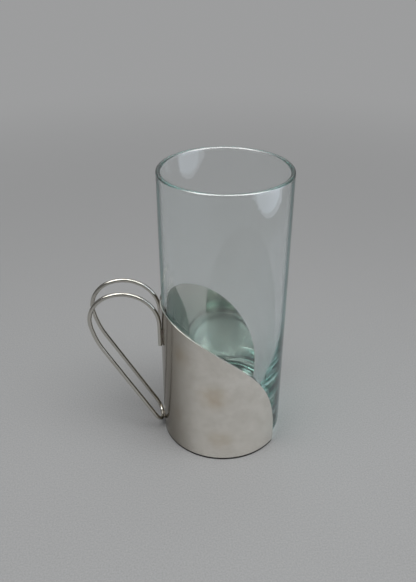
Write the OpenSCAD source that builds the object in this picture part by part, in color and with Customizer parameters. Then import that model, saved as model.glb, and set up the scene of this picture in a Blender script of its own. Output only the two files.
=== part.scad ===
// Tea glass in a sprung sheet sleeve with a wire handle.
// The glass stands on the table at the origin, +Z is up, and the handle points to -X.

/* [Glass] */
// Outside diameter of the tumbler
glass_d = 60; // [54:0.5:70]
// Height of the tumbler
glass_h = 141; // [115:1:165]
// Thickness of the tumbler's wall at the rim
glass_wall = 2; // [1.4:0.1:3]
// Thickness of the glass below the drink
glass_base = 10; // [5:0.5:14]
// Slope of the bore's wall, in degrees
bore_draft = 0.25; // [0:0.05:0.6]
// Height below which the wall swells inward
swell_h = 70; // [50:1:90]
// Radius of the long arc of the swell
swell_r = 320; // [280:5:800]
// Radius of the rounded heel between wall and foot
heel_r = 6; // [3:0.5:8]
// Radius of the corner inside, between wall and floor
floor_corner_r = 5; // [3:0.5:8]
// Radius of the shallow hollow under the foot
punt_r = 20; // [14:0.5:21]
// Depth of the shallow hollow under the foot
punt_depth = 1; // [0.5:0.1:2]

/* [Sleeve] */
// Thickness of the sheet
sheet_t = 0.6; // [0.5:0.1:1.2]
// Clearance drawn between the glass and the sheet that grips it
grip_gap = 0.1; // [0.05:0.05:0.3]
// Height of the sheet at the handle
sleeve_h = 76; // [66:1:90]
// Height where the upright free edge turns into the long curve
edge_turn_h = 4.5; // [3:0.5:15]
// Radius of the lower corner of each free edge
corner_r = 2; // [1:0.5:2.5]
// Angle of the open side, seen from above
open_angle = 72; // [50:1:100]

/* [Handle] */
// Diameter of the wire
wire_d = 2; // [1.6:0.1:3]
// Distance between the centre lines of the two legs
leg_spacing = 13.2; // [10:0.2:18]
// Drop from the sleeve's top to the cut ends of the wire
end_drop = 22; // [18:0.5:28]
// Length of the upright run that lies on the sleeve
upright_run = 11.8; // [10:0.2:16]
// Height of the half turn's centre line where it meets the sleeve
foot_h = 3.6; // [2.6:0.2:8]
// Turn of the arc that goes over the top, in degrees
top_turn = 106; // [95:1:120]
// Turn of the tight arc at the outer shoulder, in degrees
shoulder_turn = 84; // [60:1:88]
// Lean of the straight legs away from upright, in degrees
lean = 29; // [24:1:34]
// Radius of the shoulder arc as a share of the top arc
shoulder_share = 0.82; // [0.6:0.01:1]
// Radius of the wide arc below the shoulder as a share of the top arc
sweep_share = 2.7; // [1:0.1:4]

/* [Welds] */
// Thickness of weld metal between wire and sheet
weld_film = 0.1; // [0.05:0.05:0.2]
// Width of each weld across its seam
weld_w = 1.6; // [1.2:0.1:1.8]
// Length of each upper seam
upper_weld_len = 8; // [5:0.5:9]
// Length of the lower seam
lower_weld_len = 4; // [3:0.5:6]
// Distance from the wire's cut end to its seam
weld_inset = 1; // [0.5:0.5:1]

/* [Hidden] */

// Steps along the long curve of the sheet, from the handle to a free edge
curve_steps = 36;
// Steps along the swell of the bore, and round the corner at its floor
swell_steps = 24;
corner_steps = 10;

// What a cutter reaches past the piece it cuts
overrun = sheet_t;

// Glass
glass_r = glass_d / 2;
bore_r = glass_r - glass_wall;
lip_r = glass_wall / 2;
lip_h = glass_h - lip_r;
// The swell is an arc that leaves the sloping wall without a kink; seen in section,
// its centre lies on the far side of the axis
swell_centre = [
    bore_r - (lip_h - swell_h) * tan(bore_draft) - swell_r * cos(bore_draft),
    swell_h + swell_r * sin(bore_draft)
];
// The floor corner is an arc that touches the swell and the floor
corner_rise = swell_centre[1] - glass_base - floor_corner_r;
corner_dip = asin(corner_rise / (swell_r - floor_corner_r));
corner_centre = [
    swell_centre[0] + (swell_r - floor_corner_r) * cos(corner_dip),
    glass_base + floor_corner_r
];
// The hollow under the foot is part of a large sphere
punt_sphere_r = (punt_r * punt_r + punt_depth * punt_depth) / (2 * punt_depth);

// Sleeve
sleeve_ir = glass_r + grip_gap;
sleeve_or = sleeve_ir + sheet_t;
half_open = open_angle / 2;
// Length of sheet from a free edge round to the middle of the handle
half_wrap = sleeve_or * (180 - half_open) * PI / 180;

// Handle: p is the distance out from the axis, and a heading is measured from
// straight up, turning outward
wire_r = wire_d / 2;
half_spacing = leg_spacing / 2;
seat_r = sleeve_or + weld_film + wire_r;
seat_angle = asin(half_spacing / seat_r);
upright_p = seat_r * cos(seat_angle);
// Every second stretch of the wire is a hair slimmer and runs into the next ones,
// so that the stretches join cleanly
lap_share = 0.01;
lap_r = wire_r * (1 - lap_share);
lap_len = wire_d / 16;
end_h = sleeve_h - end_drop;
upright_top_h = end_h + upright_run;
leg_heading = 180 + lean;
sweep_turn = leg_heading - top_turn - shoulder_turn;

// One arc moves the wire by its radius times this [out, up] step
function arc_step(heading, turn) = [
    cos(heading) - cos(heading + turn),
    sin(heading + turn) - sin(heading)
];

// All three arcs together, for a top arc of unit radius
loop_step = arc_step(0, top_turn)
    + shoulder_share * arc_step(top_turn, shoulder_turn)
    + sweep_share * arc_step(top_turn + shoulder_turn, sweep_turn);

// The loop and the straight leg with its half turn must close the way from the
// upright run down to the foot: two equations, for the top radius and the leg
way_out = seat_r - upright_p;
way_up = foot_h - upright_top_h;
leg_dir = [sin(leg_heading), cos(leg_heading)];
closing = loop_step[0] * leg_dir[1] - loop_step[1] * leg_dir[0];
top_r = (way_out * leg_dir[1] - way_up * leg_dir[0]) / closing;
leg_reach = (loop_step[0] * way_up - loop_step[1] * way_out) / closing;
leg_len = leg_reach - half_spacing;
shoulder_r = shoulder_share * top_r;
sweep_r = sweep_share * top_r;

// Where each stretch of a leg starts, as [out, up]
top_start = [upright_p, upright_top_h];
shoulder_start = top_start + top_r * arc_step(0, top_turn);
sweep_start = shoulder_start + shoulder_r * arc_step(top_turn, shoulder_turn);
leg_start = sweep_start + sweep_r * arc_step(top_turn + shoulder_turn, sweep_turn);
leg_end = leg_start + leg_len * leg_dir;

// The sheet measured flat: its lower edge and its top edge, as heights at a turn t
// from one free edge (0) over the handle (90) to the other free edge (180)
function to_free_edge(t) = half_wrap * (1 - abs(cos(t)));
function low_edge(length) = length < corner_r
    ? corner_r - sqrt(corner_r * corner_r - (corner_r - length) * (corner_r - length))
    : max(-overrun, corner_r - length);
function top_edge(t) = edge_turn_h + (sleeve_h - edge_turn_h) * sin(t);

// Columns of the sheet round the axis, as [angle, lowest, highest]
sheet_columns = [
    for (i = [0 : 2 * curve_steps])
        let (t = 90 * i / curve_steps)
        [
            half_open + (180 - half_open) * (1 - cos(t)),
            low_edge(to_free_edge(t)),
            top_edge(t)
        ]
];

function on_arc(centre, r, angle) = centre + r * [cos(angle), sin(angle)];

// Half of the bore in section, from the middle of its floor out and up past the rim
bore_section = concat(
    [[0, glass_base]],
    [
        for (i = [0 : corner_steps])
            on_arc(corner_centre, floor_corner_r,
                -90 + (90 - corner_dip) * i / corner_steps)
    ],
    [
        for (i = [1 : swell_steps])
            on_arc(swell_centre, swell_r,
                -corner_dip + (corner_dip - bore_draft) * i / swell_steps)
    ],
    [
        [bore_r, lip_h],
        [bore_r, glass_h + overrun],
        [0, glass_h + overrun]
    ]
);

module tea_glass() {
    color([0.78, 0.88, 0.86, 0.4])
    rotate_extrude($fn = 180)
    difference() {
        union() {
            translate([0, heel_r])
                square([glass_r, lip_h - heel_r]);
            square([glass_r - heel_r, glass_h / 2]);
            translate([glass_r - heel_r, heel_r])
                circle(r = heel_r, $fn = 64);
            translate([glass_r - lip_r, lip_h])
                circle(r = lip_r, $fn = 32);
        }
        polygon(bore_section);
        translate([0, punt_depth - punt_sphere_r])
            circle(r = punt_sphere_r, $fn = 360);
        translate([-glass_r, -overrun])
            square([glass_r, glass_h + 2 * overrun]);
    }
}

function on_column(column, r, height) = [
    r * cos(column[0]),
    r * sin(column[0]),
    height
];

// The sheet's outline carried straight in to the axis side and out past the sheet,
// so that every cut edge of the sleeve is square to its surface
module sheet_outline() {
    inner = sleeve_ir - 2 * overrun;
    outer = sleeve_or + 2 * overrun;
    points = [
        for (c = sheet_columns)
            each [
                on_column(c, inner, c[1]),
                on_column(c, outer, c[1]),
                on_column(c, outer, c[2]),
                on_column(c, inner, c[2])
            ]
    ];
    last = 4 * (len(sheet_columns) - 1);
    sides = [
        for (i = [0 : 4 : last - 4])
            for (j = [0 : 3])
                let (k = (j + 1) % 4)
                each [
                    [i + j, i + 4 + k, i + k],
                    [i + j, i + 4 + j, i + 4 + k]
                ]
    ];
    ends = [
        [0, 1, 2],
        [0, 2, 3],
        [last, last + 2, last + 1],
        [last, last + 3, last + 2]
    ];
    polyhedron(points, concat(sides, ends));
}

module sleeve() {
    color([0.62, 0.61, 0.58])
    intersection() {
        difference() {
            cylinder(h = sleeve_h + overrun, r = sleeve_or, $fn = 180);
            translate([0, 0, -overrun])
                cylinder(h = sleeve_h + 3 * overrun, r = sleeve_ir, $fn = 180);
        }
        sheet_outline();
    }
}

// A bend of wire round the Z axis, from an angle and through a turn, that runs
// into its neighbours by a length of wire
module wire_bend(bend_r, from, turn, r, run_in = 0) {
    extra = run_in * 180 / (PI * bend_r);
    rotate([0, 0, from - extra])
        rotate_extrude(angle = turn + 2 * extra, $fn = 256)
            translate([bend_r, 0])
                circle(r = r, $fn = 64);
}

// A bend in the upright plane, from a start point and its heading
module wire_arc(start, heading, bend_r, turn, r, run_in = 0) {
    centre = start + bend_r * [cos(heading), -sin(heading)];
    translate([centre[0], 0, centre[1]])
        rotate([90, 0, 0])
            wire_bend(bend_r, 180 - heading - turn, turn, r, run_in);
}

module wire_leg() {
    translate([upright_p, 0, end_h])
        cylinder(h = upright_run, r = wire_r, $fn = 64);
    wire_arc(top_start, 0, top_r, top_turn, lap_r, lap_len);
    wire_arc(shoulder_start, top_turn, shoulder_r, shoulder_turn, wire_r);
    wire_arc(sweep_start, top_turn + shoulder_turn, sweep_r, sweep_turn, lap_r, lap_len);
    translate([leg_start[0], 0, leg_start[1]])
        rotate([0, leg_heading, 0])
            cylinder(h = leg_len, r = wire_r, $fn = 64);
}

// The half turn that joins the legs, lying in the plane of the slanted legs
module wire_half_turn() {
    translate([leg_end[0], 0, leg_end[1]])
        rotate([0, leg_heading - 90, 0])
            wire_bend(half_spacing, -90, 180, lap_r, lap_len);
}

module handle_wire() {
    color([0.66, 0.66, 0.62])
    rotate([0, 0, 180]) {
        for (side = [-1, 1])
            translate([0, side * half_spacing, 0])
                wire_leg();
        wire_half_turn();
    }
}

// A seam of weld metal between the sleeve and an upright wire end
module upper_weld(side) {
    color([0.45, 0.43, 0.4])
    rotate([0, 0, 180 + side * seat_angle])
        difference() {
            translate([sleeve_or - weld_film, -weld_w / 2, end_h + weld_inset])
                cube([wire_r, weld_w, upper_weld_len]);
            translate([0, 0, end_h])
                cylinder(h = upright_run, r = sleeve_or, $fn = 256);
            translate([seat_r, 0, end_h])
                cylinder(h = upright_run, r = wire_r, $fn = 64);
        }
}

module upper_weld_front() {
    upper_weld(1);
}

module upper_weld_rear() {
    upper_weld(-1);
}

// The seam under the half turn at the sleeve's foot
module lower_weld() {
    color([0.45, 0.43, 0.4])
    difference() {
        rotate([0, 0, 180])
            translate([sleeve_or - wire_r / 2, -lower_weld_len / 2, foot_h - weld_w / 2])
                cube([wire_r, lower_weld_len, weld_w]);
        cylinder(h = foot_h + wire_d, r = sleeve_or, $fn = 256);
        rotate([0, 0, 180])
            wire_half_turn();
    }
}

tea_glass();
sleeve();
handle_wire();
upper_weld_front();
upper_weld_rear();
lower_weld();
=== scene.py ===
# %% [markdown]
# # A tea glass in a sprung steel sleeve
# A tall clear tumbler stands in a rolled sheet of stainless steel. The sheet is cut
# to one long curve and is open at the side away from the handle, so it grips the glass
# like a spring. One wire, bent double, is welded on as the handle.
# The measured solids are loaded first, as a fixed frame. Every piece made below is
# placed on them, in metres: the table is z = 0, the glass stands on the Z axis and the
# handle points to -X.

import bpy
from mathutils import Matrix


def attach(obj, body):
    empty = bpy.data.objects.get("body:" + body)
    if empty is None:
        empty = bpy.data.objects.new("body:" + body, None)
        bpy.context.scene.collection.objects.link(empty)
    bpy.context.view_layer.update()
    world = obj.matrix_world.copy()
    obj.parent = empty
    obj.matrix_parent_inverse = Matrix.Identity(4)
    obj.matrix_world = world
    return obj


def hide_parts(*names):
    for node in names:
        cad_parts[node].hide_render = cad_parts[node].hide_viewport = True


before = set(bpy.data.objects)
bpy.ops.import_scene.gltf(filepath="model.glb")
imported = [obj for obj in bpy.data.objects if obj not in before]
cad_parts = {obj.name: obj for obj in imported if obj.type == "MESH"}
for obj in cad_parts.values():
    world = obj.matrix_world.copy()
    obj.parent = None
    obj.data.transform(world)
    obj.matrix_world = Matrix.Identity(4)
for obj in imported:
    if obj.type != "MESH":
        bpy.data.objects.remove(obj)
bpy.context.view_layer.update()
print("measured solids:", sorted(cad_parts))

# %% [markdown]
# ## Hand tools
# Blender's operators act on whatever is selected, and the loaded solids arrive
# selected. So each piece starts with everything put down, and inside a piece the faces,
# edges or corners to work on are picked by where they lie.

# %% Hand tools
import math

import bmesh
import bpy
from mathutils import Vector

MM = 0.001
NEAR = 0.02 * MM


def in_mm(sizes):
    """Sizes in millimetres, for printing."""
    return [round(size / MM, 2) for size in sizes]


def pick_up(piece):
    """Select one piece alone and make it active."""
    bpy.ops.object.select_all(action="DESELECT")
    piece.select_set(True)
    bpy.context.view_layer.objects.active = piece


def new_piece(name):
    """Name the primitive that was just added and bake its place into its mesh."""
    piece = bpy.context.active_object
    piece.name = name
    piece.data.name = name
    bpy.ops.object.transform_apply(location=True, rotation=True, scale=True)
    return piece


def start_shaping(piece, kind):
    """Go into edit mode with nothing picked. Kind is VERT, EDGE or FACE."""
    pick_up(piece)
    bpy.ops.object.mode_set(mode="EDIT")
    bpy.ops.mesh.select_mode(type=kind)
    bpy.ops.mesh.select_all(action="DESELECT")


def stop_shaping():
    """Leave edit mode, which writes the shape back to the piece."""
    bpy.ops.object.mode_set(mode="OBJECT")


def pick(piece, kind, fits):
    """Pick every corner, edge or face whose corners all pass the test."""
    bpy.ops.mesh.select_mode(type=kind)
    bpy.ops.mesh.select_all(action="DESELECT")
    shape = bmesh.from_edit_mesh(piece.data)
    sets = {"VERT": shape.verts, "EDGE": shape.edges, "FACE": shape.faces}
    for part in sets[kind]:
        corners = [part] if kind == "VERT" else part.verts
        if all(fits(corner.co) for corner in corners):
            part.select_set(True)
    shape.select_flush_mode()
    bmesh.update_edit_mesh(piece.data)


def picked_corners(piece):
    """The places of the corners that are picked now."""
    shape = bmesh.from_edit_mesh(piece.data)
    return [corner.co.copy() for corner in shape.verts if corner.select]


def at_ring(radius, height):
    """A test for corners that lie on one level ring round the Z axis."""
    def fits(corner):
        reach = math.hypot(corner.x, corner.y)
        return abs(reach - radius) < NEAR and abs(corner.z - height) < NEAR
    return fits


def apply_modifier(piece, kind, name, **settings):
    """Add one modifier, set it up and apply it."""
    pick_up(piece)
    modifier = piece.modifiers.new(name, kind)
    for setting, value in settings.items():
        setattr(modifier, setting, value)
    bpy.ops.object.modifier_apply(modifier=name)


def smooth_over(piece):
    """Shade smoothly, with each corner's normal led by the largest faces."""
    pick_up(piece)
    bpy.ops.object.shade_smooth()
    apply_modifier(piece, "WEIGHTED_NORMAL", "Even shading", weight=100,
                   keep_sharp=True)


def tell(piece):
    """Print how many faces a finished piece has."""
    print(piece.name, "has", len(piece.data.polygons), "faces")


# %% [markdown]
# ## The tumbler
# The real glass is pressed over a tapered plunger and melted round at the rim. So its
# wall grows a little thicker all the way down, and swells in a long arc near the base.
# That taper is worth the work: the two faces of the wall aren't parallel, so they
# mirror the same lamp at two places, and low down the swell pulls the view through the
# glass into dark slanting streaks. A lathe shape would do, but a cup made by hand is
# easier to follow. It starts as a solid cylinder, whose top is inset by the wall.

# %% Make the tumbler
GLASS_SIDES = 192
glass_radius = 30 * MM
glass_height = 141 * MM
glass_wall = 2 * MM
bore_radius = glass_radius - glass_wall

bpy.ops.object.select_all(action="DESELECT")
bpy.ops.mesh.primitive_cylinder_add(
    vertices=GLASS_SIDES, radius=glass_radius, depth=glass_height,
    location=(0, 0, glass_height / 2), end_fill_type="NGON")
tumbler = new_piece("tumbler")

start_shaping(tumbler, "FACE")
pick(tumbler, "FACE", lambda corner: corner.z > glass_height - NEAR)
bpy.ops.mesh.inset(thickness=glass_wall)

# The inset is measured across a flat, so the bore is read back from the mesh
bore_made = max(math.hypot(c.x, c.y) for c in picked_corners(tumbler))
print("bore and wanted bore", in_mm((bore_made, bore_radius)), "mm")

# %% [markdown]
# ### The bore
# The inset face is pushed down in steps, and after each step it closes in to the radius
# that the plunger had at that level. Where the swell begins the steps are shorter,
# because there the wall curves.

# %% Push the bore down, ring by ring
WALL_RING_STEP = 8 * MM
SWELL_RING_STEP = 2 * MM
glass_base = 10 * MM
bore_draft = math.tan(math.radians(0.25))
swell_height = 70 * MM
swell_arc = 320 * MM


def bore_at(height):
    """The radius of the bore, which tapers all the way and swells in near the base."""
    below = max(0, swell_height - height)
    swell = swell_arc - math.sqrt(swell_arc ** 2 - below ** 2)
    return bore_made - (glass_height - height) * bore_draft - swell


ring_height, ring_radius = glass_height, bore_made
while ring_height > glass_base + NEAR:
    step = WALL_RING_STEP if ring_height > swell_height + NEAR else SWELL_RING_STEP
    lower = max(ring_height - step, glass_base)
    if ring_height > swell_height + NEAR:
        lower = max(lower, swell_height)
    bpy.ops.mesh.extrude_region_move(
        TRANSFORM_OT_translate={"value": (0, 0, lower - ring_height)})
    closer = bore_at(lower) / ring_radius
    bpy.ops.transform.resize(value=(closer, closer, 1), center_override=(0, 0, 0))
    ring_height, ring_radius = lower, bore_at(lower)
print("wall at the floor", round((glass_radius - ring_radius) / MM, 2), "mm")

# %% [markdown]
# ### The rim and the corners
# A flame has melted the rim round, the mould has rounded the heel, and the plunger the
# corner inside. Bevels do the same. The rim has two edges, and each takes a hair less
# than half the wall, so that the two bevels don't run into each other.

# %% Melt the rim and round the corners
rim_round = 0.99 * glass_wall / 2
heel_radius = 6 * MM
floor_corner = 5 * MM

for radius in (glass_radius, bore_made):
    pick(tumbler, "EDGE", at_ring(radius, glass_height))
    bpy.ops.mesh.bevel(offset=rim_round, segments=6, affect="EDGES")
pick(tumbler, "EDGE", at_ring(glass_radius, 0))
bpy.ops.mesh.bevel(offset=heel_radius, segments=14, affect="EDGES")
pick(tumbler, "EDGE", at_ring(ring_radius, glass_base))
bpy.ops.mesh.bevel(offset=floor_corner, segments=12, affect="EDGES")
print("rim, heel and floor rounded by", in_mm((rim_round, heel_radius, floor_corner)))

# %% [markdown]
# ### The foot
# A pressed glass has a shallow hollow under its foot, so that it stands on a ring and
# doesn't rock. Four insets, each raised a little, make the dish.

# %% Hollow the foot
punt_radius = 20 * MM
punt_depth = 1 * MM
punt_ring_shares = (0.8, 0.6, 0.4, 0.2)

pick(tumbler, "FACE", lambda corner: corner.z < NEAR)
stand_radius = glass_radius - heel_radius
bpy.ops.mesh.inset(thickness=stand_radius - punt_radius)
ring_before, depth_before = 1.0, 0.0
for share in punt_ring_shares:
    depth = punt_depth * (1 - share * share)
    bpy.ops.mesh.inset(thickness=punt_radius * (ring_before - share))
    bpy.ops.transform.translate(value=(0, 0, depth - depth_before))
    ring_before, depth_before = share, depth
print("the foot is hollow by", round(depth_before / MM, 2), "mm")

# %% [markdown]
# ### Even shading
# Each side of the outer wall is still one tall face, and its shading would run crooked
# near the bevels. Level cuts divide the wall into rings. Then the corners' normals are
# led by the large faces, so that the wall shades as a true cylinder.

# %% Ring the outer wall
def outer_wall(corner):
    """A test for corners on the outside of the tumbler."""
    return math.hypot(corner.x, corner.y) > glass_radius - NEAR


ring_height = 2 * WALL_RING_STEP
while ring_height < glass_height - WALL_RING_STEP / 2:
    pick(tumbler, "FACE", outer_wall)
    bpy.ops.mesh.bisect(plane_co=(0, 0, ring_height), plane_no=(0, 0, 1),
                        threshold=NEAR)
    ring_height += WALL_RING_STEP
stop_shaping()
smooth_over(tumbler)
tell(tumbler)

# %% [markdown]
# ## The sleeve
# The maker cuts a flat blank and rolls it, so that is how it is modelled, although a
# tube could be cut to shape as well. The blank is half an ellipse on a low strip, with
# its two lower corners rounded.

# %% Cut the blank
sleeve_outside = 30.7 * MM
sleeve_height = 76 * MM
edge_turn_height = 4.5 * MM
sheet_corner = 2 * MM
half_open = math.radians(36)
wrap = 2 * (math.pi - half_open)
half_wrap = sleeve_outside * wrap / 2
OUTLINE_SIDES = 360

bpy.ops.object.select_all(action="DESELECT")
bpy.ops.mesh.primitive_circle_add(
    vertices=OUTLINE_SIDES, radius=1, fill_type="NGON",
    rotation=(math.radians(90), 0, 0))
bpy.context.active_object.scale = (half_wrap, sleeve_height - edge_turn_height, 1)
sheet_sleeve = new_piece("sheet_sleeve")

start_shaping(sheet_sleeve, "FACE")
bpy.ops.mesh.select_all(action="SELECT")
bpy.ops.mesh.bisect(plane_co=(0, 0, 0), plane_no=(0, 0, 1), clear_inner=True)
bpy.ops.mesh.select_all(action="SELECT")
bpy.ops.transform.translate(value=(0, 0, edge_turn_height))
pick(sheet_sleeve, "EDGE", lambda corner: corner.z < edge_turn_height + NEAR)
bpy.ops.mesh.extrude_region_move(
    TRANSFORM_OT_translate={"value": (0, 0, -edge_turn_height)})
pick(sheet_sleeve, "VERT", lambda corner: corner.z < NEAR)
bpy.ops.mesh.bevel(offset=sheet_corner, segments=6, affect="VERTICES")
print("blank", in_mm((2 * half_wrap, sleeve_height)), "mm")

# %% [markdown]
# ### Bending lines
# A single flat face can't bend. Upright cuts through the corners of the outline give it
# places to bend at. Near the two ends the corners crowd together, so some are passed
# over there.

# %% Mark the upright bending lines
CUT_GAP = 1.2 * MM

last_cut = None
cuts = 0
for step in range(1, OUTLINE_SIDES // 2):
    along = half_wrap * math.cos(2 * math.pi * step / OUTLINE_SIDES)
    if last_cut is not None and last_cut - along < CUT_GAP:
        continue
    bpy.ops.mesh.select_all(action="SELECT")
    bpy.ops.mesh.bisect(plane_co=(along, 0, 0), plane_no=(1, 0, 0), threshold=NEAR)
    last_cut = along
    cuts += 1
stop_shaping()
print("bending lines:", cuts)

# %% [markdown]
# ### Rolling
# Simple Deform rolls the blank, Solidify gives it the sheet's thickness towards the
# inside, and a very small bevel takes the burr off the cut edge.

# %% Roll the blank and give it its thickness
DEBURR = 0.1 * MM
SHARP_TURN = math.radians(50)
sheet_thickness = 0.6 * MM

apply_modifier(sheet_sleeve, "SIMPLE_DEFORM", "Roll", deform_method="BEND",
               deform_axis="Z", angle=wrap)
sheet_sleeve.rotation_euler.z = math.radians(-90)
sheet_sleeve.location.x = -sleeve_outside
pick_up(sheet_sleeve)
bpy.ops.object.transform_apply(location=True, rotation=True, scale=True)
reach = [math.hypot(c.co.x, c.co.y) for c in sheet_sleeve.data.vertices]
print("rolled to radii of", in_mm((min(reach), max(reach))), "mm")

apply_modifier(sheet_sleeve, "SOLIDIFY", "Sheet", thickness=sheet_thickness, offset=-1,
               use_even_offset=True)
apply_modifier(sheet_sleeve, "BEVEL", "Deburr", width=DEBURR, segments=2,
               limit_method="ANGLE", angle_limit=SHARP_TURN)
smooth_over(sheet_sleeve)
tell(sheet_sleeve)

# %% [markdown]
# ## The handle
# The handle is one wire bent round pins, and the plan of the bends comes first. Seen
# from the side, the wire goes up against the sleeve, over the top in two tight bends
# and a wide one, and straight down to the foot. The angles are the photograph's. How
# large the bends are and how long the straight leg is follows from where they must end.

# %% Plan the bends
wire_radius = 1 * MM
half_spacing = 6.6 * MM
weld_film = 0.1 * MM
seat_radius = sleeve_outside + weld_film + wire_radius
upright_out = math.sqrt(seat_radius ** 2 - half_spacing ** 2)
wire_end_on_sleeve = 22 * MM
upright_length = 11.8 * MM
wire_end_height = sleeve_height - wire_end_on_sleeve
upright_top = wire_end_height + upright_length
foot_height = 3.6 * MM
lean = math.radians(29)
top_turn = math.radians(106)
shoulder_turn = math.radians(84)
sweep_turn = math.pi + lean - top_turn - shoulder_turn
shoulder_share = 0.82
sweep_share = 2.7


def bend_step(heading, turn):
    """What a bend of unit radius adds, as (out, up), for a heading from upright."""
    out = math.cos(heading) - math.cos(heading + turn)
    up = math.sin(heading + turn) - math.sin(heading)
    return Vector((out, up))


# The loop and the straight leg have to close the way down to the foot
bends = [(1, 0.0, top_turn), (shoulder_share, top_turn, shoulder_turn),
         (sweep_share, top_turn + shoulder_turn, sweep_turn)]
loop = sum((share * bend_step(heading, turn) for share, heading, turn in bends),
           Vector((0, 0)))
down = Vector((math.sin(math.pi + lean), math.cos(math.pi + lean)))
way = Vector((seat_radius - upright_out, foot_height - upright_top))
closing = loop.x * down.y - loop.y * down.x
top_radius = (way.x * down.y - way.y * down.x) / closing
leg_length = (loop.x * way.y - loop.y * way.x) / closing - half_spacing
print("top bend and leg", in_mm((top_radius, leg_length)), "mm")

# %% [markdown]
# ### Bending
# A curve with a round profile would be quicker, but Spin shows how a wire is bent: it
# sweeps the wire's end ring round a centre, as a bender does round a pin. The wire
# starts at the middle of its half turn at the foot, runs up one slanted leg, over the
# top and down against the sleeve.

# %% Bend the wire
WIRE_SIDES = 24
BEND_STEP = math.radians(4)
FEWEST_STEPS = 6


def in_space(out_up, side):
    """A point on the handle: out from the axis, up, and along the spacing."""
    return Vector((-out_up[0], side, out_up[1]))


def bend_round(centre, axis, turn):
    """Sweep the picked end ring of the wire round a pin."""
    steps = max(FEWEST_STEPS, round(abs(turn) / BEND_STEP))
    bpy.ops.mesh.spin(steps=steps, angle=turn, center=centre, axis=axis)


def end_ring(piece):
    """The middle of the ring of corners that is picked now, in millimetres."""
    picked = picked_corners(piece)
    return in_mm(sum(picked, Vector()) / len(picked))


arc_start = Vector((upright_out, upright_top))
pins = []
for share, heading, turn in bends:
    radius = share * top_radius
    inward = Vector((math.cos(heading), -math.sin(heading)))
    pins.append((arc_start + radius * inward, turn))
    arc_start = arc_start + radius * bend_step(heading, turn)
leg_end = arc_start + leg_length * down

foot_middle = leg_end + half_spacing * down
bpy.ops.object.select_all(action="DESELECT")
bpy.ops.mesh.primitive_circle_add(
    vertices=WIRE_SIDES, radius=wire_radius, fill_type="NOTHING",
    location=in_space(foot_middle, 0), rotation=(math.radians(90), 0, 0))
handle_bow = new_piece("handle_bow")
start_shaping(handle_bow, "EDGE")
bpy.ops.mesh.select_all(action="SELECT")

foot_axis = in_space(down, 0).cross(Vector((0, -1, 0)))
bend_round(in_space(leg_end, 0), foot_axis, -math.pi / 2)
print("after the half turn", end_ring(handle_bow),
      "wanted", in_mm(in_space(leg_end, -half_spacing)))
bpy.ops.mesh.extrude_region_move(
    TRANSFORM_OT_translate={"value": in_space(-leg_length * down, 0)})
for pin, turn in reversed(pins):
    bend_round(in_space(pin, -half_spacing), (0, -1, 0), turn)
    print("after a bend", end_ring(handle_bow))
bpy.ops.mesh.extrude_region_move(
    TRANSFORM_OT_translate={"value": (0, 0, wire_end_height - upright_top)})
print("cut end", end_ring(handle_bow))

# %% [markdown]
# ### The other leg
# The cut end gets a face with a small bevel, and a mirror makes the second leg. A
# mirrored mesh can be inside out, so its doubles are merged and its faces turned
# outward.

# %% Close the cut end and mirror the leg
CUT_EDGE = 0.15 * MM

bpy.ops.mesh.edge_face_add()
bpy.ops.mesh.select_mode(type="FACE")
bpy.ops.mesh.bevel(offset=CUT_EDGE, segments=2, affect="EDGES")
stop_shaping()
apply_modifier(handle_bow, "MIRROR", "Other leg", use_axis=(False, True, False),
               use_clip=True, merge_threshold=NEAR)
start_shaping(handle_bow, "FACE")
bpy.ops.mesh.select_all(action="SELECT")
bpy.ops.mesh.remove_doubles(threshold=NEAR / 10)
bpy.ops.mesh.normals_make_consistent(inside=False)
stop_shaping()
smooth_over(handle_bow)
tell(handle_bow)

# %% [markdown]
# ## The camera
# The photograph was taken from about a third of a metre away and 31 degrees above the
# table. The place and the lens were worked out from the ellipses of the rim and the
# foot, so the render can be laid over the photograph.

# %% Place the camera
LENS = 39.15
SENSOR_WIDTH = 36
camera_spot = Vector((-20.75, -257.94, 235.27)) * MM
camera_aim = Vector((0.04394, 0.85596, -0.51517))
view = bpy.data.cameras.new("Studio camera")
view.lens = LENS
view.sensor_width = SENSOR_WIDTH
view.clip_start = 10 * MM
view.clip_end = 50
camera = bpy.data.objects.new("Studio camera", view)
bpy.context.scene.collection.objects.link(camera)
camera.location = camera_spot
camera.rotation_mode = "QUATERNION"
camera.rotation_quaternion = camera_aim.to_track_quat("-Z", "Y")
bpy.context.scene.camera = camera
print("camera", round(camera_spot.length / MM), "mm from the origin")

# %% [markdown]
# ## Finishes
# A finish is a small net of nodes round one Principled shader. The helpers below add
# nodes and feed them by name, so each finish reads from top to bottom like a recipe. A
# number that is the same all over a surface is set on the shader itself, and only what
# changes over the surface comes from other nodes.

# %% Helpers for nodes


def feed_socket(tree, source, socket):
    """Link another node's output to a socket, or set the socket to a plain value."""
    if isinstance(source, bpy.types.NodeSocket):
        tree.links.new(source, socket)
    else:
        socket.default_value = source


def feed(tree, node, **inputs):
    """Feed a node's inputs by name."""
    for name, source in inputs.items():
        feed_socket(tree, source, node.inputs[name.replace("_", " ")])


def add_node(tree, kind, **inputs):
    """Add a node and feed its inputs by name."""
    node = tree.nodes.new(kind)
    feed(tree, node, **inputs)
    return node


def sum_node(tree, kind, operation, *terms):
    """Add a node that does one sum, and feed it the terms in their order."""
    node = tree.nodes.new(kind)
    node.operation = operation
    for term, socket in zip(terms, node.inputs):
        feed_socket(tree, term, socket)
    return node


def math_node(tree, operation, first, second):
    """One sum with two numbers."""
    return sum_node(tree, "ShaderNodeMath", operation, first, second).outputs["Value"]


def ramp(tree, value, start, full, soft=False):
    """A mask that is 0 where the value is at start, and 1 where it is at full."""
    node = add_node(tree, "ShaderNodeMapRange", Value=value, From_Min=start,
                    From_Max=full)
    if soft:
        node.interpolation_type = "SMOOTHSTEP"
    return node.outputs["Result"]


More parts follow.
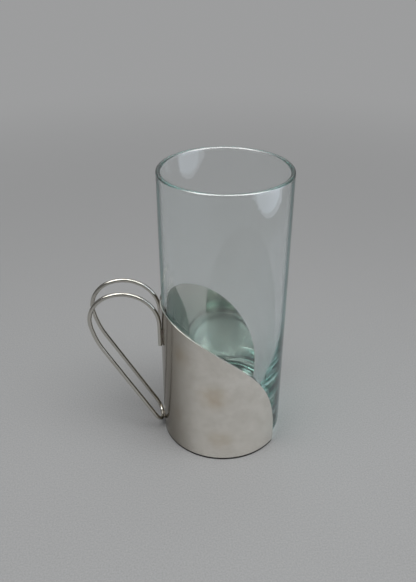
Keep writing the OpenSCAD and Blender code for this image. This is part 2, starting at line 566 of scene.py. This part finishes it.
def tell_nodes(name, tree):
    """Print how many nodes a finish or a group has."""
    print(name, "has", len(tree.nodes), "nodes")


# %% [markdown]
# ### Two effects that several finishes share
# Fine grain is noise, which can be stretched the way that a brush has left it. Handling
# marks are soft patches where a film of water or fingers has dried. Both are node
# groups, so that each finish can set its own scale.

# %% Fine grain group


def new_group(name, inputs, outputs):
    """Start a node group with named inputs and outputs."""
    group = bpy.data.node_groups.new(name, "ShaderNodeTree")
    for label, kind, value in inputs:
        socket = group.interface.new_socket(
            name=label, in_out="INPUT", socket_type=kind)
        if value is not None:
            socket.default_value = value
    for label, kind in outputs:
        group.interface.new_socket(name=label, in_out="OUTPUT", socket_type=kind)
    start = group.nodes.new("NodeGroupInput")
    end = group.nodes.new("NodeGroupOutput")
    return group, start, end


grain_group, grain_in, grain_out = new_group(
    "Fine grain",
    [("Vector", "NodeSocketVector", None), ("Stretch", "NodeSocketVector", (1, 1, 1)),
     ("Fineness", "NodeSocketFloat", 1000.0)],
    [("Height", "NodeSocketFloat")])
grain_place = add_node(
    grain_group, "ShaderNodeMapping", Vector=grain_in.outputs["Vector"],
    Scale=grain_in.outputs["Stretch"])
grain_noise = add_node(
    grain_group, "ShaderNodeTexNoise", Vector=grain_place.outputs["Vector"],
    Scale=grain_in.outputs["Fineness"], Detail=4.0, Roughness=0.6)
feed(grain_group, grain_out, Height=grain_noise.outputs["Fac"])
tell_nodes("Fine grain", grain_group)

# %% Handling marks group
PATCH_EDGE = 0.22

marks_group, marks_in, marks_out = new_group(
    "Handling marks",
    [("Vector", "NodeSocketVector", None), ("Patch Scale", "NodeSocketFloat", 60.0),
     ("Clean Share", "NodeSocketFloat", 0.5)],
    [("Mask", "NodeSocketFloat")])
marks_noise = add_node(
    marks_group, "ShaderNodeTexNoise", Vector=marks_in.outputs["Vector"],
    Scale=marks_in.outputs["Patch Scale"], Detail=5.0, Roughness=0.62, Distortion=0.6)
clean_share = marks_in.outputs["Clean Share"]
full_share = math_node(marks_group, "ADD", clean_share, PATCH_EDGE)
patches = ramp(marks_group, marks_noise.outputs["Fac"], clean_share, full_share,
               soft=True)
feed(marks_group, marks_out, Mask=patches)
tell_nodes("Handling marks", marks_group)

# %% Helpers for finishes


def new_finish(name, **inputs):
    """Start a material, and feed its Principled shader by name."""
    finish = bpy.data.materials.new(name)
    finish.use_nodes = True
    tree = finish.node_tree
    shader = tree.nodes["Principled BSDF"]
    feed(tree, shader, **inputs)
    return finish, tree, shader


def use_group(tree, group, vector, **inputs):
    """Put a node group into a finish, with the finish's own values."""
    node = tree.nodes.new("ShaderNodeGroup")
    node.node_tree = group
    feed(tree, node, Vector=vector, **inputs)
    return node


def blend_colour(tree, share, colour_a, colour_b):
    """Mix two colours, each a value or another node's output."""
    mix = tree.nodes.new("ShaderNodeMix")
    mix.data_type = "RGBA"
    feed(tree, mix, Factor=share)
    for name, colour in (("A", colour_a), ("B", colour_b)):
        whole = (*colour, 1) if isinstance(colour, tuple) else colour
        feed_socket(tree, whole, mix.inputs[name])
    return mix.outputs["Result"]


def spread(tree, mask, none, full):
    """Map a mask to a range, from none where the mask is 0 to full where it is 1."""
    node = add_node(tree, "ShaderNodeMapRange", Value=mask, To_Min=none, To_Max=full)
    return node.outputs["Result"]


def raise_surface(tree, shader, height, strength, distance):
    """Let a height stand out of the surface a little."""
    bump = add_node(tree, "ShaderNodeBump", Height=height, Strength=strength,
                    Distance=distance)
    feed(tree, shader, Normal=bump.outputs["Normal"])


# %% [markdown]
# ### Clear soda glass
# Window-like glass is clear through a thin wall and sea-green along a thick edge. The
# green comes from absorption inside the body, which deepens with the length of glass
# that the light crosses. Where the outer wall turns edge-on the light has crossed the
# most, more than a render follows, so a Layer Weight darkens the wall there as well,
# with a deep green that is partly the glass's own and partly painted shade.
# The melted lip is slightly hazy and shows as a pale ring. A trace of waviness in the
# wall keeps it from looking like a computed surface.

# %% Clear and slightly wavy
clear_glass, tree, shader = new_finish(
    "Clear soda glass", Metallic=0, IOR=1.52, Transmission_Weight=1)
place = add_node(tree, "ShaderNodeTexCoord")
wave = add_node(tree, "ShaderNodeTexNoise", Vector=place.outputs["Object"],
                Scale=38.0, Detail=1.0)
raise_surface(tree, shader, wave.outputs["Fac"], strength=0.03, distance=0.3 * MM)

# The melted lip carries a fine haze, which catches the lamps from every side
lip_haze_starts = glass_height - 1.6 * MM
lip_haze_full = glass_height - 0.9 * MM
split = add_node(tree, "ShaderNodeSeparateXYZ", Vector=place.outputs["Object"])
lip = ramp(tree, split.outputs["Z"], lip_haze_starts, lip_haze_full)
feed(tree, shader, Roughness=spread(tree, lip, none=0.0, full=0.2),
     Coat_Weight=lip, Coat_Roughness=0.35, Coat_IOR=2.6)
print("haze on the lip, over", round((glass_height - lip_haze_starts) / MM, 2), "mm")

# %% Deep green and painted shade where the wall is seen edge-on
CLEAR = (0.97, 0.98, 0.98)
EDGE_GREEN_SHADE = (0.03, 0.11, 0.10)
edge_starts, edge_full = 0.59, 0.78
skin_starts, skin_full = 28.9 * MM, 29.5 * MM


def vector_node(tree, operation, *terms):
    """One sum with places or directions."""
    return sum_node(tree, "ShaderNodeVectorMath", operation, *terms)


# Where the wall turns edge-on it goes deep green: partly the glass's own green, partly
# painted shade
edge_on = add_node(tree, "ShaderNodeLayerWeight", Blend=0.5)
edge_on_shade = ramp(tree, edge_on.outputs["Facing"], edge_starts, edge_full, soft=True)

# Only the outer wall and the lip are tinted and shaded so, and the bore stays clear
flat_place = vector_node(tree, "MULTIPLY", place.outputs["Object"], (1, 1, 0))
from_axis = vector_node(tree, "LENGTH", flat_place.outputs["Vector"])
outer_skin = ramp(tree, from_axis.outputs["Value"], skin_starts, skin_full)
tinted = math_node(tree, "MAXIMUM", outer_skin, lip)
edge_shade_share = math_node(tree, "MULTIPLY", tinted, edge_on_shade)
feed(tree, shader, Base_Color=blend_colour(tree, edge_shade_share, CLEAR, EDGE_GREEN_SHADE))
print("edge tint outside a radius of", round(skin_starts / MM, 1), "mm")

# %% Green body, and lamps that shine through
BODY_GREEN = (0.12, 0.72, 0.66, 1)
PASSED_LIGHT = (0.98, 0.99, 0.985, 1)


def show_either(tree, share, first, second):
    """Show the first shader where the share is 0, and the second where it is 1."""
    mix = tree.nodes.new("ShaderNodeMixShader")
    for source, socket in zip((share, first, second), mix.inputs):
        feed_socket(tree, source, socket)
    feed(tree, tree.nodes["Material Output"], Surface=mix.outputs["Shader"])


body = add_node(tree, "ShaderNodeVolumeAbsorption", Color=BODY_GREEN, Density=10.0)
feed(tree, tree.nodes["Material Output"], Volume=body.outputs["Volume"])

# Lamps shine through a clear glass, so shadow rays pass straight on
passing = add_node(tree, "ShaderNodeBsdfTransparent", Color=PASSED_LIGHT)
ray_kind = add_node(tree, "ShaderNodeLightPath")
show_either(tree, ray_kind.outputs["Is Shadow Ray"], shader.outputs["BSDF"],
            passing.outputs["BSDF"])
tell_nodes("Clear soda glass", tree)

# %% [markdown]
# ### Satin sheet
# Stainless sheet with a fine satin grain that runs round the sleeve. Years of wiping
# have laid a wide haze over the outside, while the inside, which only the glass
# touches, is still as glossy and warm as it left the mill. The photograph shows a few
# faint tea-brown stains, a darker handle side, which is painted shade for the shadowed
# floor that the sheet mirrors there, a painted shadow line along the foot and a dull
# sheared edge, whose upward faces also carry painted shade. Each is a soft mask at its
# own place, and the masks then mix the colours one after the other.

# %% Worn steel
STEEL = (0.82, 0.80, 0.75)
WORN = (0.71, 0.685, 0.63)
wear_starts, wear_full = 0.36, 0.64

satin_sheet, tree, shader = new_finish("Satin stainless sheet", Metallic=1)
place = add_node(tree, "ShaderNodeTexCoord")
wear = add_node(tree, "ShaderNodeTexNoise", Vector=place.outputs["Object"],
                Scale=150.0, Detail=8.0, Roughness=0.68)
worn = ramp(tree, wear.outputs["Fac"], wear_starts, wear_full)
base = blend_colour(tree, worn, STEEL, WORN)
print("steel", STEEL, "worn to", WORN)

# %% Tea stains
STAIN = (0.54, 0.41, 0.24)
# Each stain's middle and reach in millimetres, and its strength
tea_stains = (((-6.7, -30, 38.9), 11, 1.0), ((-3.2, -30.5, 13.1), 9, 0.7),
              ((-22, -21, 58), 9, 1.0), ((-24.9, -17.9, 20.9), 8, 0.8))


def soft_spot(tree, place, spot, reach):
    """A round mask, 1 at the spot and 0 at its reach."""
    away = vector_node(tree, "DISTANCE", place, Vector(spot) * MM)
    return ramp(tree, away.outputs["Value"], reach * MM, 0.0, soft=True)


# The stains are broken up by a noise of their own
blots = add_node(tree, "ShaderNodeTexNoise", Vector=place.outputs["Object"],
                 Scale=160.0, Detail=4.0, Roughness=0.6)
for spot, reach, strength in tea_stains:
    stain = math_node(tree, "MULTIPLY",
                      soft_spot(tree, place.outputs["Object"], spot, reach),
                      spread(tree, blots.outputs["Fac"], none=0.0, full=strength))
    base = blend_colour(tree, stain, base, STAIN)
print("tea stains:", len(tea_stains))

# %% Painted shade on the handle side, and the bright inside
HANDLE_SIDE_SHADE = (0.28, 0.25, 0.205)
MILL_SKIN = (0.72, 0.655, 0.595)
turn_over = 10 * MM
shade_starts, shade_full = -10 * MM, -29 * MM

# On the inside of the roll the normal points back towards the axis
outward = vector_node(tree, "DOT_PRODUCT", place.outputs["Normal"],
                      place.outputs["Object"])
inside = ramp(tree, outward.outputs["Value"], turn_over, -turn_over)

# Painted shade darkens the handle side, most of all outside, for the shadowed floor
# that the sheet mirrors there
split = add_node(tree, "ShaderNodeSeparateXYZ", Vector=place.outputs["Object"])
toward_handle = ramp(tree, split.outputs["X"], shade_starts, shade_full, soft=True)
handle_side_shade = math_node(tree, "MULTIPLY", toward_handle,
                 spread(tree, inside, none=1.0, full=0.6))
base = blend_colour(tree, handle_side_shade, base, HANDLE_SIDE_SHADE)
print("darker from", in_mm((shade_starts, shade_full)), "mm on X")

# The inside has kept the skin of the rolling mill
skin_share = spread(tree, inside, none=0.0, full=0.8)
base = blend_colour(tree, skin_share, base, MILL_SKIN)

# %% Painted shadow along the foot, and the sheared edge
FOOT_SHADOW = (0.03, 0.027, 0.025)
SHEARED_AND_SHADED = (0.46, 0.44, 0.41)
foot_shadow_starts, foot_shadow_full = 1.3 * MM, 0.8 * MM
edge_up_starts, edge_up_full = 0.2, 0.6

# A painted shadow darkens the foot of the sheet, where it meets the table
foot_shadow = ramp(tree, split.outputs["Z"], foot_shadow_starts, foot_shadow_full)
base = blend_colour(tree, foot_shadow, base, FOOT_SHADOW)

# The sheared edge is duller than the rolled faces, and it is what faces upward; its
# darker colour is also painted shade that dims the highlight along it
facing = add_node(tree, "ShaderNodeSeparateXYZ", Vector=place.outputs["Normal"])
sheared_and_shaded = ramp(tree, facing.outputs["Z"], edge_up_starts, edge_up_full)
feed(tree, shader, Base_Color=blend_colour(tree, sheared_and_shaded, base, SHEARED_AND_SHADED))
print("dirt up to", in_mm((foot_shadow_full, foot_shadow_starts)), "mm")

# %% Haze over the gloss
# Over the satin's sharp reflection lies a wide haze, weaker on the painted shade of the
# handle side, on the painted shadow along the foot and most of all inside
dull = math_node(tree, "MAXIMUM", handle_side_shade, foot_shadow)
haze = math_node(tree, "MULTIPLY", spread(tree, dull, none=0.8, full=0.1),
                 spread(tree, inside, none=1.0, full=0.15))
feed(tree, shader, Coat_Weight=haze, Coat_Roughness=0.6, Coat_IOR=2.3,
     Coat_Tint=(1.0, 0.97, 0.92, 1))

# The satin grain runs round the sleeve
grain = use_group(tree, grain_group, place.outputs["Object"], Fineness=120.0,
                  Stretch=(1.0, 1.0, 20.0))
satin = math_node(tree, "MULTIPLY",
                  spread(tree, grain.outputs["Height"], none=0.12, full=0.20),
                  spread(tree, inside, none=1.0, full=0.45))
feed(tree, shader, Roughness=satin)
raise_surface(tree, shader, grain.outputs["Height"], strength=0.08,
              distance=0.02 * MM)
tell_nodes("Satin stainless sheet", tree)

# %% [markdown]
# ### Drawn wire
# Wire comes off the drawing die with a tighter gloss than sheet and a very fine grain,
# and no haze lies over it. A thin film from handling darkens it in patches.

# %% Drawn wire
WIRE = (0.56, 0.54, 0.49)
WIRE_FILM = (0.40, 0.37, 0.30)

drawn_wire, tree, shader = new_finish("Drawn stainless wire", Metallic=1)
place = add_node(tree, "ShaderNodeTexCoord")
grain = use_group(tree, grain_group, place.outputs["Object"], Fineness=900.0)
film = use_group(tree, marks_group, place.outputs["Object"], Patch_Scale=120.0,
                 Clean_Share=0.5)
film_share = spread(tree, film.outputs["Mask"], none=0.0, full=0.3)
feed(tree, shader, Base_Color=blend_colour(tree, film_share, WIRE, WIRE_FILM),
     Roughness=spread(tree, grain.outputs["Height"], none=0.12, full=0.22))
raise_surface(tree, shader, grain.outputs["Height"], strength=0.2, distance=0.03 * MM)
tell_nodes("Drawn stainless wire", tree)

# %% [markdown]
# ### Weld metal
# The seams are small, darker and rougher, with the scaly ripple that a cooling weld
# leaves and brown patches from the heat.

# %% Weld metal
WELD = (0.30, 0.27, 0.23)
WELD_BURNT = (0.20, 0.17, 0.16)

weld_metal, tree, shader = new_finish("Weld metal", Metallic=1)
place = add_node(tree, "ShaderNodeTexCoord")
grain = use_group(tree, grain_group, place.outputs["Object"], Fineness=1400.0)
burnt = use_group(tree, marks_group, place.outputs["Object"], Patch_Scale=400.0,
                  Clean_Share=0.42)
feed(tree, shader,
     Base_Color=blend_colour(tree, burnt.outputs["Mask"], WELD, WELD_BURNT),
     Roughness=spread(tree, grain.outputs["Height"], none=0.35, full=0.6))
raise_surface(tree, shader, grain.outputs["Height"], strength=0.6, distance=0.1 * MM)
tell_nodes("Weld metal", tree)

# %% [markdown]
# ### Putting the finishes on
# Each made piece takes its finish, rides on its body and stands for the measured solid
# that it replaces. The welds are the measured solids themselves, so they only get a
# better finish.

# %% Put the finishes on


def give(piece, finish, body):
    """Put a finish on a piece, and hang the piece on its body."""
    piece.data.materials.clear()
    piece.data.materials.append(finish)
    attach(piece, body)
    print(piece.name, "rides on", body)


give(tumbler, clear_glass, "glass")
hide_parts("tea_glass")
give(sheet_sleeve, satin_sheet, "holder")
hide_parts("sleeve")
give(handle_bow, drawn_wire, "holder")
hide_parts("handle_wire")
for name in ("upper_weld_front", "upper_weld_rear", "lower_weld"):
    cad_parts[name].material_slots[0].material = weld_metal

# %% [markdown]
# ## Studio
# A plain pale floor runs out past the view on every side. Two tall softboxes stand left
# and right, a little in front. They are broad and leave only a small gap between them,
# so the bright line along the top of a round wire or of the rim runs on unbroken. A
# wider, faint one behind lifts the far side of the glass. The photograph's two pale
# patches in the glass mirror something low on the right: here that is a bent screen of
# narrow panels, which only shows in reflections. The world fills in at a plain level,
# and far away the floor fades into the backdrop.

# %% Floor
FLOOR_SIZE = 8
PAPER_DARK = (0.215, 0.215, 0.218)
PAPER_LIGHT = (0.375, 0.375, 0.38)

bpy.ops.object.select_all(action="DESELECT")
bpy.ops.mesh.primitive_plane_add(size=FLOOR_SIZE, location=(0, 0, 0))
studio_floor = new_piece("studio_floor")
floor_paper, tree, shader = new_finish("Pale floor paper", Roughness=0.9)
place = add_node(tree, "ShaderNodeTexCoord")
grain = use_group(tree, grain_group, place.outputs["Object"], Fineness=1300.0)
tone = blend_colour(tree, grain.outputs["Height"], PAPER_DARK, PAPER_LIGHT)
feed(tree, shader, Base_Color=tone)
studio_floor.data.materials.append(floor_paper)
print("floor", FLOOR_SIZE, "m wide")

# %% Softboxes


def soft_lamp(name, spot, aim, width, height, brightness, colour):
    """A rectangular lamp whose face shines as brightly as the number says."""
    lamp = bpy.data.lights.new(name, "AREA")
    lamp.shape = "RECTANGLE"
    lamp.size = width
    lamp.size_y = height
    lamp.color = colour
    lamp.energy = brightness * math.pi * width * height
    stand = bpy.data.objects.new(name, lamp)
    bpy.context.scene.collection.objects.link(stand)
    stand.location = spot
    stand.rotation_mode = "QUATERNION"
    stand.rotation_quaternion = (Vector(aim) - Vector(spot)).to_track_quat("-Z", "Y")
    stand.visible_camera = False
    return stand


for name, side in (("Left softbox", -1), ("Right softbox", 1)):
    soft_lamp(name, spot=(0.33 * side, -0.20, 0.85), aim=(0, 0, 0.05), width=0.47,
              height=0.75, brightness=4.4, colour=(0.98, 0.99, 0.98))
soft_lamp("Back softbox", spot=(0, 1.2, 1.3), aim=(0, 0.6, 0), width=2.4, height=0.9,
          brightness=0.8, colour=(1.0, 1.0, 1.0))

# %% Bent screen for the reflections
# The screen is bent half as much as a circle round the glass, and its foot rises at the
# nearer end, so it stands as narrow panels, each with its own height of the foot
screen_heading = math.radians(66)
screen_out = 0.27
screen_feet = (0.033, 0.0285, 0.0245, 0.0212, 0.019, 0.0176,
               0.017, 0.017, 0.0172, 0.018, 0.0205)
screen_bend = 0.5
panel_turn = math.radians(2.9)
panel_width = 2 * screen_bend * math.tan(panel_turn / 2)
panel_height = 0.34
SKY_BLUE = (0.79, 0.87, 1.0)
# Bounces are counted whole, so half a bounce parts none from some
SOME_BOUNCE = 0.5


def only_in_reflections(lamp):
    """Let a lamp be seen where a surface mirrors it, and light nothing else."""
    lamp.use_nodes = True
    tree = lamp.node_tree
    ray_kind = add_node(tree, "ShaderNodeLightPath")
    mirrored = math_node(tree, "GREATER_THAN", ray_kind.outputs["Glossy Depth"],
                         SOME_BOUNCE)
    feed(tree, tree.nodes["Emission"], Strength=mirrored)


to_screen = Vector((math.sin(screen_heading), -math.cos(screen_heading), 0))
along_screen = Vector((math.cos(screen_heading), math.sin(screen_heading), 0))
for panel, foot in enumerate(screen_feet):
    turn = panel_turn * (panel - (len(screen_feet) - 1) / 2)
    from_bend = to_screen * math.cos(turn) + along_screen * math.sin(turn)
    spot = to_screen * (screen_out - screen_bend) + from_bend * screen_bend
    spot.z = foot + panel_height / 2
    screen = soft_lamp("Screen panel %d" % (panel + 1), spot, aim=spot - from_bend,
                       width=panel_width, height=panel_height, brightness=1.6,
                       colour=SKY_BLUE)
    only_in_reflections(screen.data)
print("screen panels:", len(screen_feet), "each", round(panel_width / MM, 1), "mm wide")

# %% World
BACKDROP = (0.335, 0.337, 0.34)
FILL_SHARE = 0.45


def ray_sees_backdrop(tree):
    """1 for a ray that looks straight at something, also through clear glass."""
    ray_kind = add_node(tree, "ShaderNodeLightPath")
    looking = math_node(tree, "MAXIMUM", ray_kind.outputs["Is Camera Ray"],
                        ray_kind.outputs["Is Transmission Ray"])
    unmirrored = math_node(tree, "LESS_THAN", ray_kind.outputs["Glossy Depth"],
                           SOME_BOUNCE)
    return math_node(tree, "MULTIPLY", looking, unmirrored)


world = bpy.data.worlds.new("Studio fill")
world.use_nodes = True
bpy.context.scene.world = world
tree = world.node_tree
fill = spread(tree, ray_sees_backdrop(tree), none=FILL_SHARE, full=1.0)
feed(tree, tree.nodes["Background"], Color=(*BACKDROP, 1), Strength=fill)
tell_nodes("Studio fill", tree)

# %% Fade the floor into the backdrop
# Far from the object the floor fades into the backdrop, so no horizon shows
fade_starts, fade_full = 0.12, 0.75

tree = floor_paper.node_tree
place = add_node(tree, "ShaderNodeTexCoord")
away = vector_node(tree, "LENGTH", place.outputs["Object"])
far = ramp(tree, away.outputs["Value"], fade_starts, fade_full, soft=True)
seen_far = math_node(tree, "MULTIPLY", far, ray_sees_backdrop(tree))
backdrop = add_node(tree, "ShaderNodeEmission", Color=(*BACKDROP, 1))
show_either(tree, seen_far, tree.nodes["Principled BSDF"].outputs["BSDF"],
            backdrop.outputs["Emission"])
tell_nodes("Pale floor paper", tree)

# %% Settings of the view
# Light that runs along inside a glass wall is turned back many times
GLASS_BOUNCES = 64
CLEAR_LAYERS = 16

scene = bpy.context.scene
scene.view_settings.view_transform = "Standard"
scene.cycles.max_bounces = GLASS_BOUNCES
scene.cycles.glossy_bounces = GLASS_BOUNCES
scene.cycles.transmission_bounces = GLASS_BOUNCES
scene.cycles.transparent_max_bounces = CLEAR_LAYERS
print("bounces in glass:", GLASS_BOUNCES)
